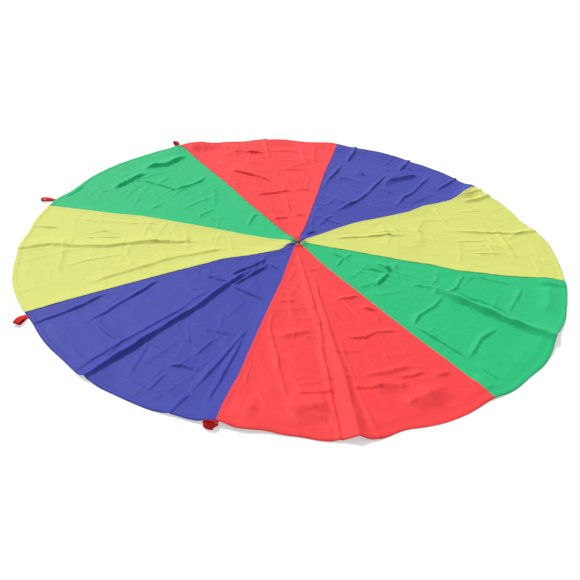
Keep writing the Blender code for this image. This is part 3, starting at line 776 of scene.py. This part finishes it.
RED_FRONT_CREASES = (
    (6.5, 7, 24, ((284, 0.05), (288.5, 0.12), (289, 0.20), (289.3, 0.32), (289.9, 0.43), (289.2, 0.60), (289, 0.70))),
    (5.5, 6, 22, ((288.6, 0.60), (288.4, 0.80), (287.8, 1.02))),
    (5.5, 6, 24, ((297, 0.24), (293.6, 0.40), (292.8, 0.51), (292, 0.61))),
    ((5, 15), (13, 32), (26, 50), ((293.0, 0.47), (292.1, 0.66), (291.6, 0.80), (291.0, 0.90), (290.6, 1.02))),
    (3, 6, 16, ((294.6, 0.58), (294.0, 0.72), (293.6, 0.86), (293.8, 1.02))),
    (4, 6, 20, ((271.2, 0.42), (273.6, 0.57), (277, 0.70), (278, 0.80))),
    (3, 5, 14, ((271.2, 0.71), (271.6, 0.84))),
    (2, 6, 20, ((276.5, 0.66), (280, 0.89))),
    (2.5, 22, 6, ((287.5, 0.215), (299, 0.222), (311.5, 0.232))),
    (4, 22, 6, ((271.5, 0.42), (277, 0.415), (283, 0.412))),
    (4.5, 24, 7, ((299, 0.41), (308.5, 0.42), (314.2, 0.425))),
    (8, 24, 7, ((308.3, 0.472), (311.3, 0.508), (314.9, 0.53))),
    (3, 6, 16, ((308.0, 0.58), (311.5, 0.53))),
    (2.5, 24, 7, ((270.8, 0.612), (276, 0.61))),
    (6, 36, 22, ((275.5, 0.608), (281, 0.585), (287, 0.565))),
    (5, 24, 5, ((294.0, 0.598), (298, 0.614), (301.8, 0.624), (305.8, 0.611), (311, 0.628), (313.5, 0.655))),
    (3, 7, 7, ((311.2, 0.62), (311.4, 0.70))),
    (5.5, 26, 5, ((302.2, 0.812), (305.5, 0.824), (309.3, 0.827))),
    (4, 7, 14, ((302.7, 0.815), (302, 0.885))),
    (4.5, 36, 6, ((292.0, 0.830), (295, 0.837), (299.5, 0.843))),
    (7, 60, 55, ((296, 0.835), (300, 0.84), (304, 0.86))),
    (4.5, 24, 16, ((294.5, 0.78), (301, 0.785), (308, 0.79))),
    (6, 24, 14, ((309, 0.845), (313.8, 0.86))),
    (4, 30, 7, ((281, 0.85), (285, 0.845), (289.5, 0.84))),
    (2, 7, 18, ((304, 0.68), (303, 0.82))),
    (11, 70, 70, ((279.5, 0.91), (284, 0.90), (288, 0.89))),
    (10, 60, 60, ((300, 0.92), (306, 0.91), (311, 0.895))),
    (8, 50, 60, ((270.5, 0.92), (275.5, 0.92))),
)
add_panel(2, "panel_red_back", RED_BACK_CREASES, True, *red_finish)
add_panel(6, "panel_red_front", RED_FRONT_CREASES, True, *red_finish)

# Handles: loops of red polyester webbing, 20 mm wide, one at each seam. Both ends of a loop are sewn flat under the
# hem. Four loops lie out past the rim as they fell, one of them on its side, and four are tucked back under the rim.
WEBBING = 1.1 * MM
LOWEST = 0.6 * MM
PIVOT_RADIUS = RADIUS + 6 * MM
WEBBING_RED = (0.70, 0.020, 0.022)
webbing_finish = cloth_material("red webbing", WEBBING_RED, roughness=0.62, thread_pitch=1.7 * MM, rumple=0.0)

# Places along the middle of the webbing, in mm from the pivot: outwards, along the rim and up, and then in degrees
# which way its width is turned in plan, and how far it leans over on its side
LYING_OUT = {
    "handle_back_left": (
        (3, 0, 0.8, 0, 2), (14, -1, 0.9, -3, 6), (27, -2, 1.4, -5, 10), (38, -3, 3.0, -6, 12), (44, -4, 8.0, -7, 14),
        (43, -5, 14, -7, 14), (35, -5, 18, -7, 14), (24, -4, 17, -5, 12), (12, -2, 11, -3, 8), (3, 0, 4.4, 0, 3)),
    "handle_left": (
        (3, 2, 1.2, 12, 3), (12, 6, 1.6, 22, 5), (23, 11, 1.8, 25, 6), (33, 16, 2.4, 26, 6), (38.5, 18.5, 5.0, 26, 6),
        (39, 18.5, 8.5, 26, 6), (34, 16.5, 11.0, 26, 6), (25, 12, 11.6, 25, 6), (14, 7, 9.0, 22, 5),
        (4, 2.5, 4.6, 12, 3)),
    "handle_front_left": (
        (3, 2, 1.0, 30, -4), (11, 9, 2.0, 38, -8), (20, 17, 3.0, 41, -10), (28, 24, 4.0, 42, -10),
        (33, 28.5, 5.5, 42, -10), (34.5, 30, 8.5, 42, -10), (32.5, 28, 11.5, 42, -10), (26, 22.5, 13.2, 42, -10),
        (17, 15, 12.2, 40, -10), (9, 8, 8.4, 36, -8), (3.5, 2.5, 4.4, 26, -4)),
    "handle_front": (
        (2.2, 2.5, 2.2, 8, 14), (5.5, 3.5, 6.4, 42, 46), (8.6, -1.5, 8.8, 70, 72), (10, -9, 9.2, 88, 78),
        (8.8, -17, 9.4, 100, 78), (6.6, -23.5, 9.7, 110, 82), (4.4, -27, 9.9, 125, 86), (2.8, -24, 10.5, 80, 86),
        (2.6, -14, 10.8, 60, 78), (2.8, -5, 8.6, 30, 58), (2.4, 0, 5.2, 10, 30)),
}


def straight(*places):
    """Rows of webbing that runs straight out from its seam, from pairs of outwards and up."""
    return tuple((outwards, 0, up, 0, 0) for outwards, up in places)


TAIL_BELOW = straight((-31, 0.6), (-18, 0.6), (-6, 0.6))
TAIL_ABOVE = straight((-6, 1.8), (-18, 1.8), (-31, 1.8))
TUCKED_TURN = (
    straight((-31, 4.5), (-20, 4.5), (-11, 4.45), (-8.2, 3.8), (-7.4, 2.5), (-8.2, 1.2), (-11, 0.65), (-20, 0.6),
             (-33, 0.6)),
    straight((-31, 3.3), (-20, 3.3), (-12, 3.3), (-9.9, 3.05), (-9.3, 2.5), (-9.9, 1.95), (-12, 1.8), (-20, 1.8),
             (-33, 1.8)),
)
TUCKED_LOOP = straight(
    (-33, 0.6), (-41, 0.6), (-52, 0.6), (-60, 0.8), (-64, 2.0), (-65.5, 4.0), (-64, 6.0), (-60, 7.1), (-52, 6.8),
    (-43, 4.4), (-37, 2.4), (-33.5, 1.8))


def webbing_along(rows, step):
    """A smooth path through places of the webbing: its middle, and which way its width points, in its own axes."""
    rows = np.array(rows, float) * (MM, MM, MM, math.pi / 180, math.pi / 180)
    at = np.concatenate([[0], np.cumsum(np.linalg.norm(np.diff(rows[:, :3], axis=0), axis=1))])
    slopes = np.gradient(rows, at, axis=0)
    where = np.linspace(0, at[-1], max(12, round(at[-1] / step)))
    before = np.clip(np.searchsorted(at, where) - 1, 0, len(at) - 2)
    span = (at[before + 1] - at[before])[:, None]
    share = (where - at[before])[:, None] / span
    path = (rows[before] * (1 + 2 * share) * (1 - share) ** 2 + rows[before + 1] * share ** 2 * (3 - 2 * share)
            + span * slopes[before] * share * (1 - share) ** 2 - span * slopes[before + 1] * share ** 2 * (1 - share))
    middle, heading, lean = path[:, :3], path[:, 3], path[:, 4]
    onward = np.gradient(middle, axis=0)
    onward /= np.linalg.norm(onward, axis=1, keepdims=True)
    broad = np.stack([-np.sin(heading) * np.cos(lean), np.cos(heading) * np.cos(lean), np.sin(lean)], 1)
    broad -= onward * (broad * onward).sum(1, keepdims=True)
    return where, middle, broad / np.linalg.norm(broad, axis=1, keepdims=True)


def hem_lift(seam, turn, outward):
    """How far the hem lifts the webbing under it above where it would lie on a flat floor."""
    towards = 1 if seam % 2 else -1
    panel = seam if seam % 2 else (seam - 1) % 8
    radius = np.clip(PIVOT_RADIUS + outward, RADIUS - TAIL_ROWS, RADIUS - 1 * MM)
    wander = eased(radius, SEAM_LINES[seam], 1) * MM
    from_seam = (turn - seam * SECTOR) * radius - wander
    from_first = from_seam if towards > 0 else radius * SECTOR + from_seam
    creases = {1: BLUE_BACK_CREASES, 3: GREEN_LEFT_CREASES, 5: BLUE_FRONT_CREASES, 7: GREEN_RIGHT_CREASES}[panel]
    height = cloth_place(panel, from_first, radius, creases, False)[2]
    over_open, over_tucked, fade_start, fade_length = 3.9 * MM, 6.7 * MM, -6 * MM, 10 * MM
    on_floor = over_tucked if HANDLE_SEATS[seam][2] else over_open
    return np.clip(height - on_floor, 0, None) * (1 - smooth((outward - fade_start) / fade_length))


def add_webbing(name, seam, strips, step=1.3 * MM, under_hem=True, columns=9):
    """Webbing of one handle: a flat strip for each path, given its thickness. Its ends are sewn under the hem."""
    _, edge, is_tucked = HANDLE_SEATS[seam]
    towards = 1 if seam % 2 else -1
    middle_turn = seam * SECTOR + towards * (edge + WEBBING_WIDTH / 2) / RADIUS
    outward = np.array((math.cos(middle_turn), math.sin(middle_turn), 0))
    beside = np.array((-outward[1], outward[0], 0))
    shape = bmesh.new()
    cut = shape.loops.layers.uv.new("cut")
    for rows in strips:
        where, middle, broad = webbing_along(rows, step)
        across = np.linspace(-0.5, 0.5, columns) * WEBBING_WIDTH
        local = middle[:, None] + broad[:, None] * across[None, :, None]
        u, v, z = local[..., 0], local[..., 1], local[..., 2]
        lift = hem_lift(seam, middle_turn + v.ravel() / RADIUS, u.ravel()).reshape(u.shape)
        if is_tucked:
            # Only the upper side of the turn goes up with the hem
            upper_side, rise = 2.3 * MM, 0.6 * MM
            lift = lift * smooth((z - upper_side) / rise)
        z = np.maximum(z + under_hem * lift, LOWEST)
        placed = (PIVOT_RADIUS + u)[..., None] * outward + v[..., None] * beside + z[..., None] * (0, 0, 1)
        count = len(where)
        made = bmesh.ops.create_grid(shape, x_segments=columns - 1, y_segments=count - 1, size=1)
        for vert in made["verts"]:
            column = round((vert.co.x + 1) / 2 * (columns - 1))
            row = round((vert.co.y + 1) / 2 * (count - 1))
            for loop in vert.link_loops:
                loop[cut].uv = (across[column], where[row])
            vert.co = Vector(placed[row, column])
    mesh = bpy.data.meshes.new(name)
    shape.to_mesh(mesh)
    shape.free()
    made = finish_object(name, mesh, webbing_finish)
    wall = made.modifiers.new("webbing thickness", "SOLIDIFY")
    wall.thickness = WEBBING
    wall.offset = 0.0
    pivot = PIVOT_RADIUS * outward
    return made, pivot, outward


for seam, (handle, _, is_tucked) in enumerate(HANDLE_SEATS):
    if is_tucked:
        turned, pivot, outward = add_webbing(handle + "_turned_webbing", seam, TUCKED_TURN, 0.5 * MM)
        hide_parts(handle + "_tail")
        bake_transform(turned)
        loop, _, _ = add_webbing(handle + "_loop_webbing", seam, (TUCKED_LOOP,), under_hem=False)
        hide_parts(handle + "_loop")
        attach(loop, handle)
    else:
        loop, pivot, outward = add_webbing(handle + "_webbing", seam, (TAIL_BELOW + LYING_OUT[handle] + TAIL_ABOVE,))
        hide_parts(handle + "_tail", handle + "_loop")
        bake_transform(loop)


# Floor, light and camera: a plain pale floor, one soft lamp from the back left, and the camera where the photograph
# was taken from.
FLOOR_SIZE = 30
FLOOR_GLOW = 0.48
floor_shape = bmesh.new()
bmesh.ops.create_grid(floor_shape, x_segments=1, y_segments=1, size=FLOOR_SIZE)
floor_mesh = bpy.data.meshes.new("floor")
floor_shape.to_mesh(floor_mesh)
floor_shape.free()
floor_finish = bpy.data.materials.new("pale floor")
floor_finish.use_nodes = True
nodes, links = floor_finish.node_tree.nodes, floor_finish.node_tree.links
paint = nodes["Principled BSDF"]
paint.inputs["Base Color"].default_value = (0.6, 0.6, 0.6, 1)
paint.inputs["Roughness"].default_value = 0.9
paint.inputs["Specular IOR Level"].default_value = 0.0
seen = nodes.new("ShaderNodeLightPath")
glow = nodes.new("ShaderNodeMath")
glow.operation = "MULTIPLY"
glow.inputs[1].default_value = FLOOR_GLOW
links.new(seen.outputs["Is Camera Ray"], glow.inputs[0])
paint.inputs["Emission Color"].default_value = (1, 1, 1, 1)
links.new(glow.outputs[0], paint.inputs["Emission Strength"])
floor_mesh.materials.append(floor_finish)
floor = bpy.data.objects.new("floor", floor_mesh)
bpy.context.scene.collection.objects.link(floor)

# The room lights the object evenly, and shows as white to the camera and in gloss
ROOM_LIGHT = 0.40
world = bpy.data.worlds.new("studio")
world.use_nodes = True
nodes, links = world.node_tree.nodes, world.node_tree.links
mixed = nodes.new("ShaderNodeMixShader")
seen = nodes.new("ShaderNodeLightPath")
shown = seen.outputs["Is Camera Ray"]
for kind in ("Is Glossy Ray", "Is Transmission Ray"):
    either = nodes.new("ShaderNodeMath")
    either.operation = "MAXIMUM"
    links.new(shown, either.inputs[0])
    links.new(seen.outputs[kind], either.inputs[1])
    shown = either.outputs[0]
links.new(shown, mixed.inputs[0])
room, white = nodes["Background"], nodes.new("ShaderNodeBackground")
for background, strength, socket in ((room, ROOM_LIGHT, 1), (white, 1.0, 2)):
    background.inputs["Color"].default_value = (1, 1, 1, 1)
    background.inputs["Strength"].default_value = strength
    links.new(background.outputs[0], mixed.inputs[socket])
links.new(mixed.outputs[0], nodes["World Output"].inputs["Surface"])
bpy.context.scene.world = world

LAMP_LIGHT = 2.65
LAMP_WIDTH = math.radians(22)
LAMP_PLACE = (-1.8, 1.8, 2.75)
lamp_data = bpy.data.lights.new("soft lamp", "SUN")
lamp_data.energy = LAMP_LIGHT
lamp_data.angle = LAMP_WIDTH
lamp = bpy.data.objects.new("soft lamp", lamp_data)
bpy.context.scene.collection.objects.link(lamp)
lamp.location = LAMP_PLACE
lamp.rotation_mode = "QUATERNION"
lamp.rotation_quaternion = (Vector((0, 0, 0)) - lamp.location).to_track_quat("-Z", "Y")

LENS = 40.27
VIEWPOINT = (0.345, -2.1327, 1.2466)
YAW, PITCH, ROLL = math.radians(-9.31), math.radians(34.44), math.radians(-4.2)
view_data = bpy.data.cameras.new("camera")
view_data.sensor_width = 36
view_data.lens = LENS
view = bpy.data.objects.new("camera", view_data)
bpy.context.scene.collection.objects.link(view)
level = Matrix(((math.cos(YAW), -math.sin(YAW), 0), (math.sin(YAW), math.cos(YAW), 0), (0, 0, 1)))
tilt = Matrix(((1, 0, 0), (0, math.sin(PITCH), math.cos(PITCH)), (0, -math.cos(PITCH), math.sin(PITCH))))
lean = Matrix(((math.cos(ROLL), -math.sin(ROLL), 0), (math.sin(ROLL), math.cos(ROLL), 0), (0, 0, 1)))
turned = (lean @ tilt @ level).transposed()
view.matrix_world = Matrix.Translation(VIEWPOINT) @ turned.to_4x4()
view_data.clip_end = 60
bpy.context.scene.camera = view
bpy.context.scene.view_settings.view_transform = "Standard"
